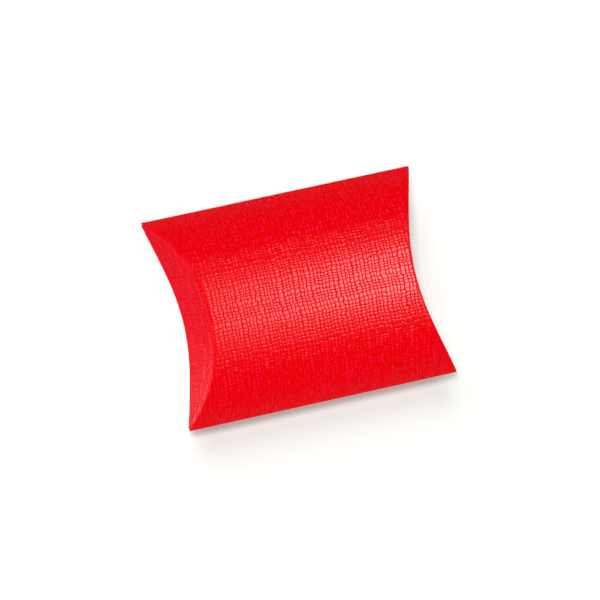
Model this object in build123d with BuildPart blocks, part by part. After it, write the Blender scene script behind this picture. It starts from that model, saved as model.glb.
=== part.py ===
from build123d import *
from math import acos, asin, cos, degrees, radians, sin
import os

# A pillow box: one sheet of embossed paperboard, cut, creased, glued along one side into a sleeve and
# closed by a pair of curved flaps at each end. Each panel between two creases is a piece of its own.
# Millimetres. X runs along the two straight side folds, Z is up, and the box lies on its back panel.

# The closed box
length = 90.0  # from corner to corner along the side folds
width = 64.0  # from side fold to side fold
depth = 21.5  # over the crowns of the two main panels
board = 0.4  # thickness of the board
end_sag = 10.75  # how far each end crease curves in towards the middle

# The cross section of both main panels, a flat crown between two gentle arcs and two tight shoulders
crown_width = 7.0
join_slope = 8.5  # degrees, where a gentle arc turns into a shoulder
edge_slope = 52.0  # degrees, where the panel meets a side fold

# The end flaps, a pair at each end
nest_gap = 0.3  # between the outer flap and the inner flap behind it
outer_flap_rise = 0.6  # how far the outer flap's free edge stops above the back panel's skin
inner_flap_reach = 11.5  # height of the inner flap at its middle, from the back panel's skin
inner_flap_relief = 3.0  # cut away from each of the inner flap's two tips

# The glued seam along the far side fold
tab_width = 10.0
tab_end_gap = 2.0  # from the tab's corner on the fold to the corner of the box
tab_taper = 5.0  # how much shorter each end of the tab is at its free edge
glue_film = 0.08  # thickness of the dried glue
glue_width = 6.0
glue_end_gap = 3.0  # from the end of the tab's free edge to the end of the glue
seam_setback = 0.4  # how far the back panel's cut edge stops short of the fold

os.makedirs("parts", exist_ok=True)

fold_height = depth / 2  # both side folds lie in this level plane
crown_slope = 0.0


# The shape of the panels

def arch_radii(half_span, rise):
    """The gentle and the tight radius of an arch that falls by the rise over the half span."""
    join, edge = radians(join_slope), radians(edge_slope)
    run = half_span - crown_width / 2
    gentle_run, gentle_fall = sin(join), 1 - cos(join)
    tight_run, tight_fall = sin(edge) - sin(join), cos(join) - cos(edge)
    gentle = (run * tight_fall - rise * tight_run) / (gentle_run * tight_fall - gentle_fall * tight_run)
    return gentle, (rise - gentle * gentle_fall) / tight_fall


def shoulder_centre(half_span, rise):
    """The centre of the tight shoulder arc, across and down from the middle of the crown."""
    gentle, tight = arch_radii(half_span, rise)
    join = radians(join_slope)
    return crown_width / 2 + (gentle - tight) * sin(join), (gentle - tight) * cos(join) - gentle


def arch_point(side, slope, inset):
    """Where the half arch has this slope, the inset being how deep in the board the point lies."""
    gentle, tight = arch_radii(*side)
    centre = (crown_width / 2, -gentle) if slope <= join_slope else shoulder_centre(*side)
    radius = (gentle if slope <= join_slope else tight) - inset
    return centre[0] + radius * sin(radians(slope)), centre[1] + radius * cos(radians(slope))


def fold_slope(side, inset):
    """The slope at which the half arch crosses the level plane of the side folds."""
    drop = -side[1] - shoulder_centre(*side)[1]
    return degrees(acos(drop / (arch_radii(*side)[1] - inset)))


def arch_arcs(side, end_slope, inset, place):
    """Draws the half arch from the crown to its end and gives its two end points."""
    slopes = [crown_slope, join_slope / 2, join_slope, (join_slope + end_slope) / 2, end_slope]
    points = [place(*arch_point(side, slope, inset)) for slope in slopes]
    ThreePointArc(*points[:3])
    ThreePointArc(*points[2:])
    return points[0], points[-1]


def panel_section(near, far, near_ends, far_ends, place):
    """A main panel's closed outline. The near side has negative Y, and ends are slopes, outer then inner."""
    with BuildSketch() as section:
        with BuildLine():
            rims = []
            for inset, near_end, far_end in zip((0, board), near_ends, far_ends):
                near_crown, near_rim = arch_arcs(near, near_end, inset, lambda y, z: place(-y, z))
                far_crown, far_rim = arch_arcs(far, far_end, inset, place)
                Line(near_crown, far_crown)
                rims.append((near_rim, far_rim))
            Line(rims[0][0], rims[1][0])
            Line(rims[0][1], rims[1][1])
        make_face()
    return section.sketch


def front_place(y, z):
    return y, depth + z


def back_place(y, z):
    return y, -z


plain_side = (width / 2, fold_height)
plain_ends = (edge_slope, fold_slope(plain_side, board))

# Along the seam the back panel lies over the tab and the glue, so its skin is that much further out.
seam_step = board + glue_film
seam_side = (width / 2 + seam_step * sin(radians(edge_slope)),
             fold_height - seam_step * cos(radians(edge_slope)))
seam_slope = edge_slope - degrees(seam_setback / arch_radii(*seam_side)[1])


# The end creases, arcs about a centre beyond each end

crease_radius = (width ** 2 / 4 + end_sag ** 2) / (2 * end_sag)
crease_centre = length / 2 - end_sag + crease_radius
inner_crease_radius = crease_radius + board + nest_gap


def end_discs(radius):
    """The two round areas, one beyond each end, that an arc of this radius bounds."""
    with BuildSketch() as discs:
        with Locations((crease_centre, 0), (-crease_centre, 0)):
            Circle(radius)
    return discs.sketch


def end_band(end, radius):
    """A flap seen from above: a curved band as thick as the board."""
    with BuildSketch() as band:
        with Locations((end * crease_centre, 0)):
            Circle(radius + board)
            Circle(radius, mode=Mode.SUBTRACT)
    return band.sketch


# The two main panels

with BuildPart() as front_panel:
    with BuildSketch(Plane.YZ):
        add(panel_section(plain_side, plain_side, plain_ends, plain_ends, front_place))
    extrude(amount=length / 2, both=True)
    with BuildSketch():
        add(end_discs(crease_radius + board))
    extrude(amount=depth, mode=Mode.SUBTRACT)

with BuildPart() as back_panel:
    with BuildSketch(Plane.YZ):
        add(panel_section(plain_side, seam_side, plain_ends, (seam_slope, seam_slope), back_place))
    extrude(amount=length / 2, both=True)
    with BuildSketch():
        add(end_discs(inner_crease_radius + board))
    extrude(amount=depth, mode=Mode.SUBTRACT)


# The seam: a tab folded in from the front panel and the glue that holds the back panel on it

def seam_band(outer_inset, inner_inset, start_slope, end_slope):
    """A strip that follows the far shoulder of the back panel, between two depths and two slopes."""
    with BuildSketch() as band:
        with BuildLine():
            rims = []
            for inset in (outer_inset, inner_inset):
                slopes = (start_slope, (start_slope + end_slope) / 2, end_slope)
                points = [back_place(*arch_point(seam_side, slope, inset)) for slope in slopes]
                ThreePointArc(*points)
                rims.append((points[0], points[-1]))
            Line(rims[0][0], rims[1][0])
            Line(rims[0][1], rims[1][1])
        make_face()
    return band.sketch


shoulder_radius = arch_radii(*seam_side)[1]
tab_slope = edge_slope - degrees(tab_width / shoulder_radius)
tab_edge = arch_point(seam_side, tab_slope, seam_step)[0]
tab_fold_half = length / 2 - tab_end_gap
tab_edge_half = tab_fold_half - tab_taper
tab_overrun = tab_width  # how far the tab's outline runs on past the fold before it is trimmed

with BuildPart() as glue_tab:
    with BuildSketch(Plane.YZ):
        add(seam_band(seam_step, seam_step + board, tab_slope, edge_slope + degrees(board / shoulder_radius)))
    extrude(amount=length / 2, both=True)
    split(bisect_by=Plane.XY.offset(fold_height), keep=Keep.BOTTOM)
    with BuildSketch():
        with BuildLine():
            Polyline((-tab_edge_half, 0), (-tab_edge_half, tab_edge), (-tab_fold_half, width / 2),
                     (-tab_fold_half, width / 2 + tab_overrun), (tab_fold_half, width / 2 + tab_overrun),
                     (tab_fold_half, width / 2), (tab_edge_half, tab_edge), (tab_edge_half, 0), close=True)
        make_face()
    extrude(amount=depth, mode=Mode.INTERSECT)

glue_margin = degrees((tab_width - glue_width) / 2 / shoulder_radius)

with BuildPart() as glue_strip:
    with BuildSketch(Plane.YZ):
        add(seam_band(board, seam_step, tab_slope + glue_margin, edge_slope - glue_margin))
    extrude(amount=tab_edge_half - glue_end_gap, both=True)


# The end flaps

def lens():
    """The whole cross section of the closed box, out to the skin."""
    with BuildSketch() as outline:
        for place in (front_place, back_place):
            with BuildLine():
                near_crown, near_rim = arch_arcs(plain_side, edge_slope, 0, lambda y, z: place(-y, z))
                far_crown, far_rim = arch_arcs(plain_side, edge_slope, 0, place)
                Line(near_crown, far_crown)
                Line(near_rim, far_rim)
            make_face()
    return outline.sketch


def outer_flap_outline():
    """The outer flap seen from the end: the whole lens, less a strip along its free lower edge."""
    with BuildSketch() as outline:
        add(lens())
        with Locations((0, outer_flap_rise)):
            add(lens(), mode=Mode.INTERSECT)
    return outline.sketch


def inner_flap_outline():
    """The inner flap seen from the end: the foot of the lens under a shallow arc between two tips."""
    tip = width / 2 - inner_flap_relief
    tip_slope = degrees(asin((tip - shoulder_centre(*plain_side)[0]) / arch_radii(*plain_side)[1]))
    tip_height = -arch_point(plain_side, tip_slope, 0)[1]
    with BuildSketch() as outline:
        add(lens())
        with BuildLine():
            ThreePointArc((-tip, tip_height), (0, inner_flap_reach), (tip, tip_height))
            Polyline((tip, tip_height), (tip, 0), (-tip, 0), (-tip, tip_height))
        make_face(mode=Mode.INTERSECT)
    return outline.sketch


def end_flap(end, outline, radius):
    with BuildPart() as flap:
        with BuildSketch(Plane.YZ):
            add(outline)
        extrude(amount=end * length / 2)
        with BuildSketch():
            add(end_band(end, radius))
        extrude(amount=depth, mode=Mode.INTERSECT)
    return flap.part


# Each piece by its name

pieces = {
    "front_panel": front_panel.part,
    "back_panel": back_panel.part,
    "glue_tab": glue_tab.part,
    "glue_strip": glue_strip.part,
}
for side_name, end in (("left", -1), ("right", 1)):
    pieces[side_name + "_outer_flap"] = end_flap(end, outer_flap_outline(), crease_radius)
    pieces[side_name + "_inner_flap"] = end_flap(end, inner_flap_outline(), inner_crease_radius)

for name, piece in pieces.items():
    piece.label = name
    export_step(piece, "parts/" + name + ".step")
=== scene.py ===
from math import acos, ceil, cos, pi, radians, sin

import bpy
import numpy as np
from mathutils import Euler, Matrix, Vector


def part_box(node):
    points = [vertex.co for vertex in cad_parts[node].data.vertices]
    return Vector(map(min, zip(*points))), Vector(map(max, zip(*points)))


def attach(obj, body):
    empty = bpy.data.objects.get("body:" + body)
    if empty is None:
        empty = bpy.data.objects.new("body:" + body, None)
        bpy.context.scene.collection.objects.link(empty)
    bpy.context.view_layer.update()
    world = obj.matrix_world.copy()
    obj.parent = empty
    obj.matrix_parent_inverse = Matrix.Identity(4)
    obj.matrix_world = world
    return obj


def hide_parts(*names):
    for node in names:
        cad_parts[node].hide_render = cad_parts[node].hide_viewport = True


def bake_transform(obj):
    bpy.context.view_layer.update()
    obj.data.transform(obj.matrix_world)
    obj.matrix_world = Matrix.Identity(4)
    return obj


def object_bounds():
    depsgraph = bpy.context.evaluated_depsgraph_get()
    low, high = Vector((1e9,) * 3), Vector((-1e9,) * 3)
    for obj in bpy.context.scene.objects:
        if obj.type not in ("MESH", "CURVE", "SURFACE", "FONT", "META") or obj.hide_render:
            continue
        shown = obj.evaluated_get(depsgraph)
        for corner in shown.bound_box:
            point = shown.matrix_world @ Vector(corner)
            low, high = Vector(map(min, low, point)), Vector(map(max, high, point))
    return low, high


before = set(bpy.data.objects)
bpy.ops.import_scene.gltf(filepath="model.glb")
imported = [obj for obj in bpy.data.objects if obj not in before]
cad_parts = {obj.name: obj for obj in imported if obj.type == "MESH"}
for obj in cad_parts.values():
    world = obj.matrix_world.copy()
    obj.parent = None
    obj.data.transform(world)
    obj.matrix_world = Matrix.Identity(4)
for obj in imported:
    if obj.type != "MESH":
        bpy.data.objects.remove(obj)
cad_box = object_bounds()


# The front panel. It is the wide middle of the die-cut board, red and embossed like linen on its outside,
# pale and plain inside. The creases round it bend it into an arch, and the board runs on past each of them:
# into the back panel, the glue tab and the two outer flaps.

mm = 0.001
half_length, half_width, depth = 45 * mm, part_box("front_panel")[1].y, cad_box[1].z
fold_height = depth / 2  # both side folds lie at this height
board = 0.4 * mm
crown_half = 3.5 * mm  # half the width of the flat crown
join_slope, edge_slope = radians(8.5), radians(52)  # where the tight arc starts, and at the side fold
side_round = 0.5 * mm  # radius of the skin where the board turns over a side fold
fold_steps = 7  # rows of points round that turn
panel_step = 1 * mm  # from one row of points to the next
panel_columns = 85
end_sag = 10.75 * mm  # how far each end crease curves in
crease_radius = (half_width ** 2 + end_sag ** 2) / (2 * end_sag)
crease_centre = half_length - end_sag + crease_radius
tip_reach, tip_blunt = 1.2 * mm, 0.3 * mm  # the blunt end of each corner, and how much shorter it is
FRONT, BACK = 1, -1  # whether a panel's skin faces up or down

# At an end crease the skin turns from the panel down into the flap along a smooth curve.
shoulder = 0.8 * mm  # how far before the crease the turn starts
lip = 0.4 * mm  # how far it runs down the flap
least_fall, most_of_flap = 0.3, 0.8  # what keeps the lip short near the corners, where the flap runs out
turn_pull, turn_part = 0.4, 0.7  # how round the turn is, and how much of the lip its curve takes up
turn = np.linspace(0, 1, 11)
before = np.append((1 - turn) ** 3 + 3 * (1 - turn) ** 2 * turn * turn_pull, 0)
past = np.append(turn_part * (3 * (1 - turn) * turn ** 2 * turn_pull + turn ** 3), 1)
inner_before = np.append(1 - turn, 0)

crease_crush = 0.45  # how much of the emboss a crease presses flat
crush_reach, crush_core = 0.8 * mm, 1.5  # how soon it comes back beside a side fold

SKIN, INSIDE, EDGE = 0, 1, 2  # the three finishes of every piece of board
sharpest_smooth = radians(40)


def arch(span, rise, inset=0.0, end_slope=None):
    """The arcs of half a panel from the crown to its side, each a length, a radius and its first slope.
    Without an end slope, the last of them is the turn over the side fold."""
    run = span - crown_half
    gentle_run, tight_run = sin(join_slope), sin(edge_slope) - sin(join_slope)
    gentle_fall, tight_fall = 1 - cos(join_slope), cos(join_slope) - cos(edge_slope)
    gentle = (run * tight_fall - rise * tight_run) / (gentle_run * tight_fall - gentle_fall * tight_run)
    tight = (rise - gentle * gentle_fall) / tight_fall
    centre_fall = gentle - (gentle - tight) * cos(join_slope)
    gentle, tight = gentle - inset, tight - inset
    arcs = [(crown_half, np.inf, 0.0), (gentle * join_slope, gentle, 0.0)]
    if end_slope:
        return arcs + [(tight * (end_slope - join_slope), tight, join_slope)]
    roll_slope = acos((centre_fall - fold_height) / (tight - side_round))
    return arcs + [(tight * (roll_slope - join_slope), tight, join_slope),
                   (side_round * (pi / 2 - roll_slope), side_round, roll_slope)]


def reach(arcs):
    """The length of the skin from the crown to the side."""
    return sum(length for length, radius, slope in arcs)


def half_section(s, arcs):
    """Y, fall from the crown and slope at the distance s along the skin from the crown."""
    y, fall, slope = np.zeros_like(s), np.zeros_like(s), np.zeros_like(s)
    start = 0.0
    for length, radius, first in arcs:
        along = np.clip(s - start, 0, length)
        start += length
        if radius == np.inf:
            y += along
            continue
        turned = first + along / radius
        slope = np.where(along > 0, turned, slope)
        y += radius * (np.sin(turned) - sin(first))
        fall += radius * (cos(first) - np.cos(turned))
    return y, fall, slope


def section(s, near, far):
    """The same for a whole panel. Its near half has a negative s and a negative Y."""
    (near_y, near_fall, near_slope), (y, fall, slope) = half_section(-s, near), half_section(s, far)
    return (np.where(s < 0, -near_y, y), np.where(s < 0, near_fall, fall),
            np.where(s < 0, -near_slope, slope))


def spread(arcs, step):
    """Distances from the crown to the side, a step apart, and closer on the tight turn at the side fold."""
    marks = [0.0]
    for length, radius, slope in arcs:
        count = fold_steps if radius == side_round else ceil(length / step)
        marks += list(marks[-1] + np.linspace(0, length, count + 1)[1:])
    return np.array(marks)


def lines_across(near, far, step):
    """The lines of points that run along a whole panel, from its near side to its far one."""
    return np.concatenate([-spread(near, step)[::-1], spread(far, step)[1:]])


def crease_x(y, radius):
    """Where an end crease runs at each Y. Its two tips are a little blunt."""
    to_tip = np.clip((np.abs(y) - half_width) / tip_reach + 1, 0, 1)
    return crease_centre - np.sqrt(radius ** 2 - y ** 2) - tip_blunt * to_tip ** 2


def end_turn(face, s, near, far, radius):
    """What the board does at the end crease on each line along the panel: where the skin's crease is, how
    far back the turn starts, how far down the flap it runs, and where the inner faces meet."""
    y, fall, slope = section(s, near, far)
    zero = np.zeros_like(s)
    normal = np.stack([zero, np.sin(slope), face * np.cos(slope)], 1)
    x = crease_x(y, radius)
    flap_normal = np.stack([crease_centre - x, -y, zero], 1) / radius
    tangent = np.cross(normal, flap_normal)
    tangent /= np.linalg.norm(tangent, axis=1, keepdims=True)
    back = shoulder / np.cross(tangent, normal)[:, 0]
    down = np.minimum(lip / np.maximum(np.abs(np.cross(tangent, flap_normal)[:, 2]), least_fall),
                      most_of_flap * np.maximum(fold_height - fall, 0))
    z = fold_height + face * (fold_height - fall)
    corner = np.stack([crease_x(y - board * normal[:, 1], radius + board), y - board * normal[:, 1],
                       z - board * normal[:, 2]], 1)
    return y, z, x, back, down, corner, flap_normal


def crushed_beside(distance):
    """How flat the emboss is pressed at this distance from a side fold, from 0 to 1."""
    return np.clip(crush_core - distance / crush_reach, 0, 1)


def lay_board(name, skin, inside, blank, relief, on_fold):
    """One piece of the board. A grid is thickened to a closed sheet, and its points are then laid on the
    skin and on the inner face, because each of them lies on two curved surfaces at once. Blank is each
    point's place on the flat sheet, relief the depth of the emboss, and on_fold marks where the board runs
    on into the next piece, so that no cut edge shows there."""
    across_grid, along_grid = skin[1, 2] - skin[1, 1], skin[2, 1] - skin[1, 1]
    if np.dot(np.cross(across_grid, along_grid), skin[1, 1] - inside[1, 1]) < 0:
        skin, inside, blank, relief, on_fold = (
            grid[:, ::-1] for grid in (skin, inside, blank, relief, on_fold))
    rows, columns = relief.shape
    bpy.ops.object.select_all(action="DESELECT")
    bpy.ops.mesh.primitive_grid_add(x_subdivisions=columns - 1, y_subdivisions=rows - 1, size=half_length)
    piece = bpy.context.object
    piece.name = piece.data.name = name
    for finish in (red_skin, plain_inside, cut_edge):
        piece.data.materials.append(finish)
    wall = piece.modifiers.new("board", "SOLIDIFY")
    wall.thickness, wall.offset = board, -1
    wall.material_offset, wall.material_offset_rim = INSIDE, EDGE
    bpy.ops.object.modifier_apply(modifier=wall.name)
    mesh = piece.data
    mesh.vertices.foreach_set("co", np.concatenate([skin, inside]).astype(np.float32).ravel())
    corners = np.zeros(len(mesh.loops), np.int32)
    mesh.loops.foreach_get("vertex_index", corners)
    twice = np.concatenate([blank, blank]).reshape(-1, 2)
    mesh.uv_layers.active.data.foreach_set("uv", twice[corners].astype(np.float32).ravel())
    mesh.uv_layers.active.name = "blank"
    raised = mesh.attributes.new("relief", "FLOAT", "POINT")
    raised.data.foreach_set("value", np.concatenate([relief, relief]).astype(np.float32).ravel())
    folded = np.concatenate([on_fold, on_fold]).ravel()
    for face in mesh.polygons:
        if face.material_index == EDGE and all(folded[v] for v in face.vertices):
            face.material_index = SKIN
    mesh.update()
    bpy.ops.object.shade_smooth_by_angle(angle=sharpest_smooth)
    return piece


def lay_panel(name, face, near, far, radius, unrolled, near_fold=True, far_fold=True):
    """A main panel from end crease to end crease. Unrolled gives a line's place across the flat blank."""
    s = lines_across(near, far, panel_step)
    y, z, x, back, down, corner, _ = end_turn(face, s, near, far, radius)
    middle = np.linspace(-1, 1, panel_columns)

    def stations(start, fold):
        """One value for each row and column: the middle columns and the turn at each end."""
        return np.concatenate([-fold[:, ::-1], start[:, None] * middle[1:-1], fold], 1)

    fold_x = x[:, None] - back[:, None] * before
    skin_x = stations(x - back, fold_x)
    inner_x = stations(corner[:, 0] - back, corner[:, :1] - back[:, None] * inner_before)
    share = np.concatenate([past[::-1], np.zeros(len(middle) - 2), past])
    skin = np.stack([skin_x, np.broadcast_to(y[:, None], skin_x.shape),
                     z[:, None] - face * down[:, None] * share], 2)
    inside = np.stack([inner_x, np.broadcast_to(corner[:, 1:2], inner_x.shape),
                       np.broadcast_to(corner[:, 2:], inner_x.shape)], 2)
    blank = np.stack([skin_x, np.broadcast_to(unrolled(s)[:, None], skin_x.shape)], 2)
    blank[..., 0] += np.sign(skin_x) * share * down[:, None]
    end_crush = (1 - before) * (1 - past)
    crushed = np.broadcast_to(np.concatenate([end_crush[::-1], np.zeros(len(middle) - 2), end_crush]),
                              skin_x.shape)
    from_side = np.where(s < 0, reach(near) + s, reach(far) - s)
    side_crush = crushed_beside(from_side) * np.where(s < 0, near_fold, far_fold)
    crushed = np.maximum(crushed, side_crush[:, None])
    on_fold = np.zeros(skin_x.shape, bool)
    on_fold[:, 0] = on_fold[:, -1] = True
    on_fold[0] |= near_fold
    on_fold[-1] |= far_fold
    return lay_board(name, skin, inside, blank, 1 - crease_crush * crushed, on_fold)


# The finishes of the board, each built from nodes
def node(tree, kind, **settings):
    """A new node with its settings."""
    made = tree.nodes.new("ShaderNode" + kind)
    for name, value in settings.items():
        setattr(made, name, value)
    return made


def feed(tree, socket, value):
    """Sets a socket to a value or joins it to another socket."""
    if isinstance(value, bpy.types.NodeSocket):
        tree.links.new(value, socket)
    else:
        socket.default_value = value


def reckon(tree, operation, *values):
    """The result of a sum on numbers or sockets."""
    made = node(tree, "Math", operation=operation)
    for socket, value in zip(made.inputs, values):
        feed(tree, socket, value)
    return made.outputs[0]


def ramp(tree, value, low, high, to_low=0.0, to_high=1.0):
    """A smooth step from one number at low to another at high."""
    made = node(tree, "MapRange", interpolation_type="SMOOTHSTEP")
    for name, number in (("Value", value), ("From Min", low), ("From Max", high), ("To Min", to_low),
                         ("To Max", to_high)):
        feed(tree, made.inputs[name], number)
    return made.outputs["Result"]


def flat_place(tree, x, y):
    """X and y, joined to one place."""
    place = node(tree, "CombineXYZ")
    feed(tree, place.inputs["X"], x)
    feed(tree, place.inputs["Y"], y)
    return place.outputs[0]


def speckle(tree, x, y, pace):
    """Smooth noise from about 0 to 1 over two directions."""
    noise = node(tree, "TexNoise", noise_dimensions="2D")
    tree.links.new(flat_place(tree, x, y), noise.inputs["Vector"])
    noise.inputs["Scale"].default_value = pace
    noise.inputs["Detail"].default_value = 0.0
    return noise.outputs["Fac"]


def chance(tree, x, y):
    """A number from 0 to 1 for each whole x and y."""
    noise = node(tree, "TexWhiteNoise", noise_dimensions="2D")
    tree.links.new(flat_place(tree, x, y), noise.inputs["Vector"])
    return noise.outputs["Value"]


def new_group(name, takes, gives):
    """A node group with its sockets, each a name and a kind."""
    group = bpy.data.node_groups.new(name, "ShaderNodeTree")
    for way, sockets in (("INPUT", takes), ("OUTPUT", gives)):
        for socket_name, kind in sockets.items():
            group.interface.new_socket(socket_name, in_out=way, socket_type="NodeSocket" + kind)
    return group, group.nodes.new("NodeGroupInput"), group.nodes.new("NodeGroupOutput")


# The linen emboss. Columns of threads run across the box and rows along it. Between them lie grooves, and
# where they cross, each thread stands up as a small pad. Places and lengths here are counted in threads.
rows_per_column = 1.22
shake = {"across": 0.6, "pace": 0.9, "amount": 0.5}  # quick small waves in the thread lines
drift = {"across": 0.3, "pace": 0.13, "amount": 0.8}  # and slow large ones
apart_pace, apart_amount = 0.3, 1.4  # how unevenly the threads are spaced
column_seed, row_seed, step_seed, pad_seed = 3.7, 41.3, 7.0, 0.5  # keep the patterns apart
row_step = 0.2  # how far a row shifts from column to column
column_groove_from, row_groove_from = 0.68, 0.62  # where a groove starts, from a thread's middle
shallow_row, deep_row = 0.04, 0.32  # rows are less deep than columns, and unevenly so
dome_height, row_dome = 0.1, 2.5  # pads are round on top, and more so across a row
pad_unevenness = 0.2
grain_pace, grain_height = 3.5, 0.16  # the board's own fine grain
pad_edge, pad_middle = 0.8, 0.1  # where the painted glint on a pad's top ends, and where it is strongest
bright_from, brightest = 0.25, 0.45  # which pads get a painted glint, and how strong it is
raised_bright = 0.75  # the same painted glint for every pad where the emboss stands higher, as on the flaps

linen, given, made = new_group("linen_emboss", {"Blank": "Vector", "Thread": "Float", "Relief": "Float"},
                               {"Height": "Float", "Groove": "Float", "Painted glint": "Float"})
split = node(linen, "SeparateXYZ")
linen.links.new(given.outputs["Blank"], split.inputs[0])
warp = reckon(linen, "DIVIDE", split.outputs["X"], given.outputs["Thread"])
weft = reckon(linen, "DIVIDE", split.outputs["Y"], given.outputs["Thread"])
weft = reckon(linen, "MULTIPLY", weft, rows_per_column)


def wander(place, other, seed):
    """Thread lines that shake and drift along their length and stand closer or wider apart."""
    along = reckon(linen, "ADD", other, seed)
    waves = [(speckle(linen, reckon(linen, "MULTIPLY", place, wave["across"]), along, wave["pace"]),
              wave["amount"]) for wave in (shake, drift)]
    waves.append((speckle(linen, reckon(linen, "ADD", place, seed), seed, apart_pace), apart_amount))
    for noise, amount in waves:
        place = reckon(linen, "MULTIPLY_ADD", reckon(linen, "SUBTRACT", noise, 0.5), amount, place)
    return place


column_place = wander(warp, weft, column_seed)
column = reckon(linen, "FLOOR", column_place)
row_place = wander(weft, warp, row_seed)
row_place = reckon(linen, "MULTIPLY_ADD", chance(linen, column, step_seed), row_step, row_place)
row = reckon(linen, "FLOOR", row_place)


def off_middle(place):
    """0 in the middle of a thread and 1 at its edges."""
    through = reckon(linen, "FRACT", place)
    return reckon(linen, "ABSOLUTE", reckon(linen, "MULTIPLY_ADD", through, 2.0, -1.0))


column_edge, row_edge = off_middle(column_place), off_middle(row_place)
column_groove = ramp(linen, column_edge, column_groove_from, 1.0)
row_depth = ramp(linen, chance(linen, column, row), 0.1, 0.9, shallow_row, deep_row)
row_depth = reckon(linen, "MULTIPLY", row_depth, given.outputs["Relief"])
row_groove = reckon(linen, "MULTIPLY", ramp(linen, row_edge, row_groove_from, 1.0), row_depth)
groove = reckon(linen, "MAXIMUM", column_groove, row_groove)

dome = reckon(linen, "MULTIPLY_ADD", reckon(linen, "POWER", row_edge, 2.0), row_dome,
              reckon(linen, "POWER", column_edge, 2.0))
height = reckon(linen, "MULTIPLY_ADD", dome, -dome_height, reckon(linen, "SUBTRACT", 1.0, groove))
height = reckon(linen, "MULTIPLY_ADD", chance(linen, row, column), pad_unevenness, height)
height = reckon(linen, "MULTIPLY_ADD", speckle(linen, warp, weft, grain_pace), grain_height, height)

# A painted glint: a pale pink spot on the top of some pads, standing in for the light their tops catch.
pad = reckon(linen, "MULTIPLY", ramp(linen, column_edge, pad_edge, pad_middle),
             ramp(linen, row_edge, pad_edge, pad_middle))
pad_chance = chance(linen, row, reckon(linen, "ADD", column, pad_seed))
painted_glint_pad = ramp(linen, pad_chance, bright_from, 1.0, 0.0, brightest)
painted_glint_raised = reckon(linen, "MULTIPLY_ADD", given.outputs["Relief"], raised_bright, -raised_bright)
painted_glint_pad = reckon(linen, "MAXIMUM", painted_glint_pad, painted_glint_raised)

linen.links.new(reckon(linen, "MULTIPLY", height, given.outputs["Relief"]), made.inputs["Height"])
linen.links.new(reckon(linen, "MULTIPLY", groove, given.outputs["Relief"]), made.inputs["Groove"])
linen.links.new(reckon(linen, "MULTIPLY", pad, painted_glint_pad), made.inputs["Painted glint"])


def finish_of(name, colour, roughness):
    """A new material with its shader, ready for its own nodes."""
    finish = bpy.data.materials.new(name)
    finish.use_nodes = True
    shader = finish.node_tree.nodes["Principled BSDF"]
    shader.inputs["Base Color"].default_value = colour
    shader.inputs["Roughness"].default_value = roughness
    return finish, finish.node_tree, shader


def tinted(tree, mask, colour, other):
    """One colour that turns to another where the mask is 1."""
    tint = node(tree, "Mix", data_type="RGBA")
    tree.links.new(mask, tint.inputs["Factor"])
    feed(tree, tint.inputs["A"], colour)
    tint.inputs["B"].default_value = other
    return tint.outputs["Result"]


def raise_surface(tree, shader, height, distance):
    """Lets the light fall on a surface as if it stood up by the height."""
    bump = node(tree, "Bump")
    bump.inputs["Distance"].default_value = distance
    tree.links.new(height, bump.inputs["Height"])
    tree.links.new(bump.outputs["Normal"], shader.inputs["Normal"])


# The red skin: a satin coating over the emboss, with painted glints on some pads and painted shade in the
# grooves
red = (0.80, 0.0005, 0.003, 1)
# The pad colour is a painted glint, and the two groove colours are painted shade.
painted_glint_red, painted_groove_shade, painted_deep_groove_shade = (0.84, 0.024, 0.12, 1), (0.69, 0.0, 0.002, 1), (0.58, 0.0, 0.004, 1)
thread_pitch, emboss_depth = 1.3 * mm, 0.058 * mm
pad_roughness, groove_roughness = 0.24, 0.4

red_skin, tree, shader = finish_of("red_linen_board", red, pad_roughness)
shader.inputs["Specular IOR Level"].default_value = 0.2
emboss = tree.nodes.new("ShaderNodeGroup")
emboss.node_tree = linen
tree.links.new(node(tree, "UVMap", uv_map="blank").outputs["UV"], emboss.inputs["Blank"])
# The relief sets the emboss depth. Over 1, as on the flaps, it also spreads painted glints over all pads and
# a darker painted shade into the grooves.
tree.links.new(node(tree, "Attribute", attribute_name="relief").outputs["Fac"], emboss.inputs["Relief"])
emboss.inputs["Thread"].default_value = thread_pitch
raise_surface(tree, shader, emboss.outputs["Height"], emboss_depth)
deep_shade_mask = reckon(tree, "SUBTRACT", emboss.outputs["Groove"], 1.0)  # over 0 only on the flaps: a mask for a darker painted shade in their grooves
# Painted glints on the pads, painted shade in the grooves, and a darker painted shade in the flaps' grooves.
for mask, shade in ((emboss.outputs["Painted glint"], painted_glint_red), (emboss.outputs["Groove"], painted_groove_shade),
                    (deep_shade_mask, painted_deep_groove_shade)):
    red = tinted(tree, mask, red, shade)
tree.links.new(red, shader.inputs["Base Color"])
tree.links.new(ramp(tree, emboss.outputs["Groove"], 0.0, 1.0, pad_roughness, groove_roughness),
               shader.inputs["Roughness"])

# The bare board: two close tones in soft spots, as paper fibres have them, on its inside and its cut edges
fibre, given, made = new_group("soft_mottle", {"Place": "Vector", "Spots per metre": "Float"},
                               {"Mottle": "Float"})
spots = node(fibre, "TexNoise")
spots.inputs["Detail"].default_value = 4.0
spots.inputs["Roughness"].default_value = 0.6
fibre.links.new(given.outputs["Place"], spots.inputs["Vector"])
fibre.links.new(given.outputs["Spots per metre"], spots.inputs["Scale"])
fibre.links.new(ramp(fibre, spots.outputs["Fac"], 0.3, 0.7), made.inputs["Mottle"])


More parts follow.
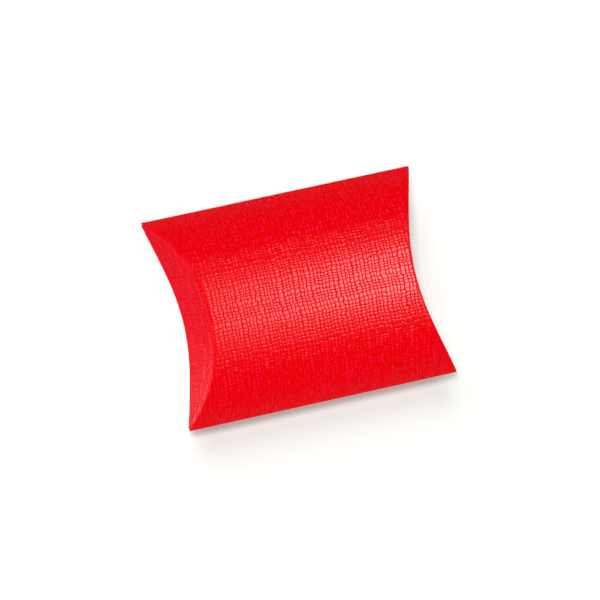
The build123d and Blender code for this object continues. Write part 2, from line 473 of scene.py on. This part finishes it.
def mottled(name, tones, roughness, spots_per_metre, spot_height, uv_map=None):
    """A material of two close tones in soft spots, which also stand up a little."""
    finish, tree, shader = finish_of(name, tones[0], roughness)
    mottle = tree.nodes.new("ShaderNodeGroup")
    mottle.node_tree = fibre
    if uv_map:
        place = node(tree, "UVMap", uv_map=uv_map).outputs["UV"]
    else:
        place = node(tree, "TexCoord").outputs["Object"]
    tree.links.new(place, mottle.inputs["Place"])
    mottle.inputs["Spots per metre"].default_value = spots_per_metre
    tree.links.new(tinted(tree, mottle.outputs["Mottle"], *tones), shader.inputs["Base Color"])
    raise_surface(tree, shader, mottle.outputs["Mottle"], spot_height)
    return finish


plain_inside = mottled("plain_board_inside", tones=((0.80, 0.78, 0.735, 1), (0.89, 0.87, 0.835, 1)),
                       roughness=0.8, spots_per_metre=1400, spot_height=0.01 * mm, uv_map="blank")
cut_edge = mottled("cut_board_edge", tones=((0.72, 0.68, 0.61, 1), (0.86, 0.82, 0.76, 1)),
                   roughness=0.85, spots_per_metre=3000, spot_height=0.02 * mm, uv_map="blank")

plain_arcs = arch(half_width, fold_height)
front_panel = lay_panel("front_panel_board", FRONT, plain_arcs, plain_arcs, crease_radius, lambda s: s)
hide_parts("front_panel")
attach(front_panel, "sleeve")


# The back panel. It is the same board, turned over the near side fold. Its far edge is cut, and lies over
# the glue tab, so that half of the panel stands further out by the tab and the glue. Its end creases lie a
# little further in than the front panel's, so that the inner flaps go behind the outer ones.

glue_film = 0.08 * mm
seam_step = board + glue_film
nest_gap = 0.3 * mm  # between an outer flap and the inner flap behind it
seam_setback = 0.4 * mm  # how far the cut edge stops short of the fold
seam_span, seam_rise = half_width + seam_step * sin(edge_slope), fold_height - seam_step * cos(edge_slope)
seam_radius = arch(seam_span, seam_rise, end_slope=edge_slope)[-1][1]
seam_arcs = arch(seam_span, seam_rise, end_slope=edge_slope - seam_setback / seam_radius)
inner_crease_radius = crease_radius + board + nest_gap
side_length = reach(plain_arcs)


def back_blank(s):
    """Where a line of the back panel lies on the flat sheet, which starts at the front panel's middle."""
    return -2 * side_length - s


back_panel = lay_panel("back_panel_board", BACK, plain_arcs, seam_arcs, inner_crease_radius, back_blank,
                       far_fold=False)
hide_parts("back_panel")
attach(back_panel, "sleeve")


# The glue tab. It is the last strip of the board, folded in from the front panel's far edge and stuck to
# the inside of the back panel. Its two ends are cut back so that it clears the flaps.

tab_width, tab_half = 10 * mm, 43 * mm  # its width, and half its length along the fold
tab_taper = 5 * mm  # how much shorter each end is at the free edge
tab_columns = 90
tab_arcs = arch(seam_span, seam_rise, inset=seam_step)
tab_s = spread(tab_arcs, panel_step)
tab_s = np.append(reach(tab_arcs) - tab_width, tab_s[tab_s > reach(tab_arcs) - tab_width])
tab_y, tab_fall, tab_slope = half_section(tab_s, tab_arcs)
from_fold = reach(tab_arcs) - tab_s
tab_x = np.linspace(-1, 1, tab_columns) * (tab_half - tab_taper * (from_fold / tab_width))[:, None]


def on_tab(values):
    """One value for each row of the tab, repeated along the row."""
    return np.broadcast_to(values[:, None], tab_x.shape)


def tab_face(inset):
    """The tab's points at this depth in the board."""
    y = tab_y - inset * np.sin(tab_slope)
    z = seam_step + tab_fall + inset * np.cos(tab_slope)
    return np.stack([tab_x, on_tab(y), on_tab(z)], 2)


tab_blank = np.stack([tab_x, on_tab(side_length + from_fold)], 2)
tab_relief = 1 - crease_crush * on_tab(crushed_beside(from_fold))
tab_fold = np.zeros(tab_x.shape, bool)
tab_fold[-1] = True
glue_tab = lay_board("glue_tab_board", tab_face(0), tab_face(board), tab_blank, tab_relief, tab_fold)
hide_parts("glue_tab")
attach(glue_tab, "sleeve")


# The glue. A line of white glue, dried to a thin film, holds the back panel on the tab. It is laid on the
# flat board before the sleeve is folded shut, and only a seam that is pulled apart shows it.

dried_glue = mottled("dried_glue", tones=((0.86, 0.82, 0.71, 1), (0.93, 0.91, 0.84, 1)),
                     roughness=0.4, spots_per_metre=500, spot_height=0.03 * mm)
glue_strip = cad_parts["glue_strip"]
glue_strip.data.materials.clear()
glue_strip.data.materials.append(dried_glue)


# The outer flaps. One closes each end from the front. A curved crease joins it to the front panel, and
# its free edge is cut to the arch of the back panel, a little short of it. Pressing left two low ridges on
# each, which run along under the crease.

outer_rise = 0.6 * mm  # how far the free edge stops short of the back panel's skin
shortest_line = 0.4 * mm  # the flap starts where it is this long, beside each corner
flap_step = 0.8 * mm
flap_rows = 61
row_crowding = 1.5  # over 1, so that the rows lie closer near the crease
corner_blend = 1.5 * mm  # how far below the crease the inner face reaches the board's thickness
ridge_lines = (2.7 * mm, 7.3 * mm)  # how far below the crease the two ridges run
ridge_height, ridge_width = 0.3 * mm, 0.42 * mm
flap_relief = 1.6  # the emboss stands out more on the flaps than on the panels, with painted glints on all its pads and a darker painted shade in its grooves
bend_length = 2.5 * mm  # how much of the flap below the crease bends as it opens
bend_step = 0.4 * mm
sure_row = -9  # a row near the free edge, where the opened flap's skin faces the panel's way for sure
most_change, tries, change_cost = 0.3, 401, 0.1  # the search that keeps the opened board's thickness


def lay_flap(name, end, face, near, far, radius, unrolled, free_z):
    """A flap that hangs from an end crease. Free_z gives the height of its free edge at each Y."""
    s = lines_across(near, far, flap_step)
    y, z, x, _, down, corner, flap_normal = end_turn(face, s, near, far, radius)
    top, low = z - face * down, free_z(y, z)
    kept = face * (top - low) > shortest_line
    y, z, x, corner, flap_normal, top, low, s = (
        values[kept] for values in (y, z, x, corner, flap_normal, top, low, s))
    share = np.linspace(0, 1, flap_rows)[:, None] ** row_crowding
    shape = (len(share), len(s))
    skin_z = top + (low - top) * share
    skin = np.stack([np.broadcast_to(x, shape), np.broadcast_to(y, shape), skin_z], 2)
    under = skin - board * flap_normal
    below = face * (z - skin_z)
    ridges = sum(np.exp(-((below - line) / ridge_width) ** 2) for line in ridge_lines)
    skin = skin + (ridge_height * ridges)[..., None] * flap_normal
    near_top = np.clip(1 - np.abs(skin_z - top) / corner_blend, 0, 1)[..., None]
    from_corner = np.stack([np.broadcast_to(corner[:, 0], shape), np.broadcast_to(corner[:, 1], shape),
                            corner[:, 2] + (low - corner[:, 2]) * share], 2)
    inside = from_corner * near_top + under * (1 - near_top)
    blank = np.stack([x + below, np.broadcast_to(unrolled(s), shape)], 2)
    on_fold = np.zeros(shape, bool)
    on_fold[0] = True
    for points in (skin, inside, blank):
        points[..., 0] *= end
    return lay_board(name, skin, inside, blank, np.full(shape, flap_relief), on_fold)


def bend_flap(flap, end, face, near, far, radius):
    """Works out each point's share of the hinge's turn for a flap bending open from its curved crease. Wide
    open, it carries the arch of the panel straight on, so each point shares the hinge's turn as far as
    brings it level with the board at its own Y. The inner face's shares are then set to keep the board's
    thickness under the skin. The shares are not kept, so the flap itself doesn't bend."""
    level = depth if face == FRONT else 0
    hinge_x = crease_x(0, radius)
    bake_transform(flap)
    points = np.zeros(3 * len(flap.data.vertices))
    flap.data.vertices.foreach_get("co", points)
    x, y, z = np.moveaxis(points.reshape(2, flap_rows, -1, 3), 3, 0)
    out, up = end * x - hinge_x, face * (z - level)
    from_hinge, at_rest = np.hypot(out, up), np.arctan2(up, out)
    s = lines_across(near, far, bend_step)
    line_y, fall, slope = section(s, near, far)
    arch_up = np.stack([np.interp(y[0], line_y, -fall),
                        np.interp(y[1], line_y - board * np.sin(slope), -fall - board * np.cos(slope))])
    share = np.clip((np.arcsin(np.clip(arch_up / from_hinge, -1, 1)) - at_rest) / (pi / 2), 0, 1)
    eased = np.clip((up[0, 0] - up[0]) / bend_length, 0, 1)
    share *= eased ** 2 * (3 - 2 * eased)

    def wide_open(part, its_share):
        """Where the points of the skin, part 0, or of the inner face, part 1, lie when the flap is open."""
        turned = at_rest[part] + its_share * pi / 2
        return np.stack(np.broadcast_arrays(from_hinge[part] * np.cos(turned), y[part],
                                            from_hinge[part] * np.sin(turned)), -1)

    skin = wide_open(0, share[0])
    skin_normal = np.cross(np.gradient(skin, axis=0), np.gradient(skin, axis=1))
    skin_normal /= np.linalg.norm(skin_normal, axis=2, keepdims=True)
    skin_normal *= np.sign(skin_normal[sure_row, skin.shape[1] // 2, 2])
    tried = np.linspace(-most_change, most_change, tries)[:, None, None]
    thickness = np.sum((skin - wide_open(1, share[1] + tried)) * skin_normal, -1)
    fault = np.abs(thickness - board) + change_cost * np.abs(tried) * from_hinge[1]
    share[1] += tried.ravel()[np.argmin(fault, axis=0)] * (eased > 0)
    share = np.clip(share, 0, 1)


def outer_edge(y, z):
    """The free edge follows the back panel's arch, which mirrors the front one's."""
    return depth - z + outer_rise


for end, side in ((-1, "left"), (1, "right")):
    flap = lay_flap(side + "_outer_flap_board", end, FRONT, plain_arcs, plain_arcs, crease_radius,
                    lambda s: s, outer_edge)
    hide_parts(side + "_outer_flap")
    bend_flap(flap, end, FRONT, plain_arcs, plain_arcs, crease_radius)


# The inner flaps. One lies behind each outer flap, joined to the back panel by a crease of its own. It is
# shorter, and its free edge is cut to a shallow arc between two tips, so that it closes easily.

inner_reach, inner_tip = 11.5 * mm, half_width - 3 * mm  # the edge's height at its middle, and its tips' Y
tip_height = float(np.interp(inner_tip, *half_section(spread(plain_arcs, panel_step / 2), plain_arcs)[:2]))
inner_rise = inner_reach - tip_height
inner_edge_radius = (inner_tip ** 2 + inner_rise ** 2) / (2 * inner_rise)


def inner_edge(y, z):
    """The free edge is an arc, highest at its middle."""
    return inner_reach - inner_edge_radius + np.sqrt(inner_edge_radius ** 2 - y ** 2)


for end, side in ((-1, "left"), (1, "right")):
    flap = lay_flap(side + "_inner_flap_board", end, BACK, plain_arcs, seam_arcs, inner_crease_radius,
                    back_blank, inner_edge)
    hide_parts(side + "_inner_flap")
    bend_flap(flap, end, BACK, plain_arcs, seam_arcs, inner_crease_radius)


# The studio. The box lies on a pale paper floor. Two broad lamps light it softly, and one small lamp draws
# the sheen along the crown. Two more lamps light the floor alone, so that the shadow falls below the box and
# to its right.

floor_size = 12  # metres, so that no edge shows
bpy.ops.object.select_all(action="DESELECT")
bpy.ops.mesh.primitive_plane_add(size=floor_size, location=(0, 0, 0))
floor = bpy.context.object
floor.name = "floor"
paper, tree, shader = finish_of("pale_paper", (0.50, 0.495, 0.485, 1), 0.9)
shader.inputs["Specular IOR Level"].default_value = 0.0
shader.inputs["Emission Color"].default_value = (0.95, 0.99, 0.93, 1)
shader.inputs["Emission Strength"].default_value = 0.37
floor.data.materials.append(paper)
floor.visible_glossy = False  # so that the gloss sees the cards below and not the floor

# The gloss of the board sees two white cards in the dark, both low behind the box: a weak wide one, and a
# strong one to the left. Their soft edges are given in the direction that the gloss looks in.
low_card_light, side_card_light, backdrop_light = 0.34, 8.0, 1.1
world = bpy.data.worlds.new("studio")
bpy.context.scene.world = world
world.use_nodes = True
world.cycles.sampling_method = "NONE"  # so that the kind of ray below is always known
tree = world.node_tree
toward = node(tree, "SeparateXYZ")
tree.links.new(node(tree, "TexCoord").outputs["Generated"], toward.inputs[0])
x, y, z = (toward.outputs[axis] for axis in "XYZ")
low_card = reckon(tree, "MULTIPLY", ramp(tree, y, 0.14, 0.42, 0.0, low_card_light),
                  ramp(tree, z, -0.5, -0.75))
side_card = ramp(tree, y, 0.22, 0.55, 0.0, side_card_light)
for edge in (ramp(tree, x, -0.35, -0.6), ramp(tree, z, -0.85, -0.55), ramp(tree, z, 0.05, -0.15, 0.05)):
    side_card = reckon(tree, "MULTIPLY", side_card, edge)
ray = node(tree, "LightPath")
glow = reckon(tree, "MULTIPLY", reckon(tree, "ADD", low_card, side_card), ray.outputs["Is Glossy Ray"])
glow = reckon(tree, "MULTIPLY_ADD", ray.outputs["Is Camera Ray"], backdrop_light, glow)
tree.links.new(glow, tree.nodes["Background"].inputs["Strength"])
tree.nodes["Background"].inputs["Color"].default_value = (1, 1, 1, 1)


def wide_lamp(name, toward_lamp, strength, spread_degrees):
    """A broad soft light from far away, which leaves no gloss."""
    bpy.ops.object.select_all(action="DESELECT")
    bpy.ops.object.light_add(type="SUN", location=toward_lamp)
    lamp = bpy.context.object
    lamp.name = name
    lamp.rotation_euler = Vector(toward_lamp).to_track_quat("Z", "Y").to_euler()
    lamp.data.energy = strength
    lamp.data.angle = radians(spread_degrees)
    lamp.visible_glossy = False
    lamp.data.cycles.use_multiple_importance_sampling = False
    return lamp


wide_lamp("overhead_light", (0, -0.2, 1), strength=2.55, spread_degrees=150)
window = wide_lamp("window_light", (-0.87, 0.25, 0.45), strength=2.25, spread_degrees=110)

sheen_from = Vector((0.395, 0.034, 0.918))
sheen_at = Vector((50 * mm, 0, depth))
sheen_distance = 0.65
bpy.ops.object.select_all(action="DESELECT")
bpy.ops.object.light_add(type="AREA", location=sheen_at + sheen_distance * sheen_from)
sheen = bpy.context.object
sheen.name = "sheen_light"
sheen.rotation_euler = sheen_from.to_track_quat("Z", "Y").to_euler()
sheen.data.shape, sheen.data.size, sheen.data.size_y = "RECTANGLE", 0.08, 0.05
sheen.data.energy = 1.2
sheen.visible_camera = sheen.visible_diffuse = False

only_floor = bpy.data.collections.new("only_the_floor")
only_floor.objects.link(floor)
all_but_floor = bpy.data.collections.new("all_but_the_floor")
all_but_floor.objects.link(floor)
all_but_floor.collection_objects[0].light_linking.link_state = "EXCLUDE"
window.light_linking.receiver_collection = all_but_floor
low = wide_lamp("low_light", (-0.36, 0.66, 0.66), strength=2.5, spread_degrees=40)
close = wide_lamp("light_beside_the_camera", (-0.395, 0.13, 0.91), strength=3.05, spread_degrees=12)
low.light_linking.receiver_collection = close.light_linking.receiver_collection = only_floor

bpy.context.scene.view_settings.view_transform = "Standard"

# The camera looks straight at the tilted box from far off, so that the near side isn't drawn larger.
view_distance = 3.6
picture_width = 600  # pixels
lens_scale = 3339  # pixels for a metre at the box
facing = Euler((radians(7.472), radians(-22.194), radians(-14.239)))
aim = Vector((0.22 * mm, -0.589 * mm, view_distance))  # right, up and back from the middle of the box
bpy.ops.object.camera_add(location=Vector((0, 0, fold_height)) + facing.to_matrix() @ aim, rotation=facing)
camera = bpy.context.object
camera.data.lens = camera.data.sensor_width * lens_scale * view_distance / picture_width
bpy.context.scene.camera = camera
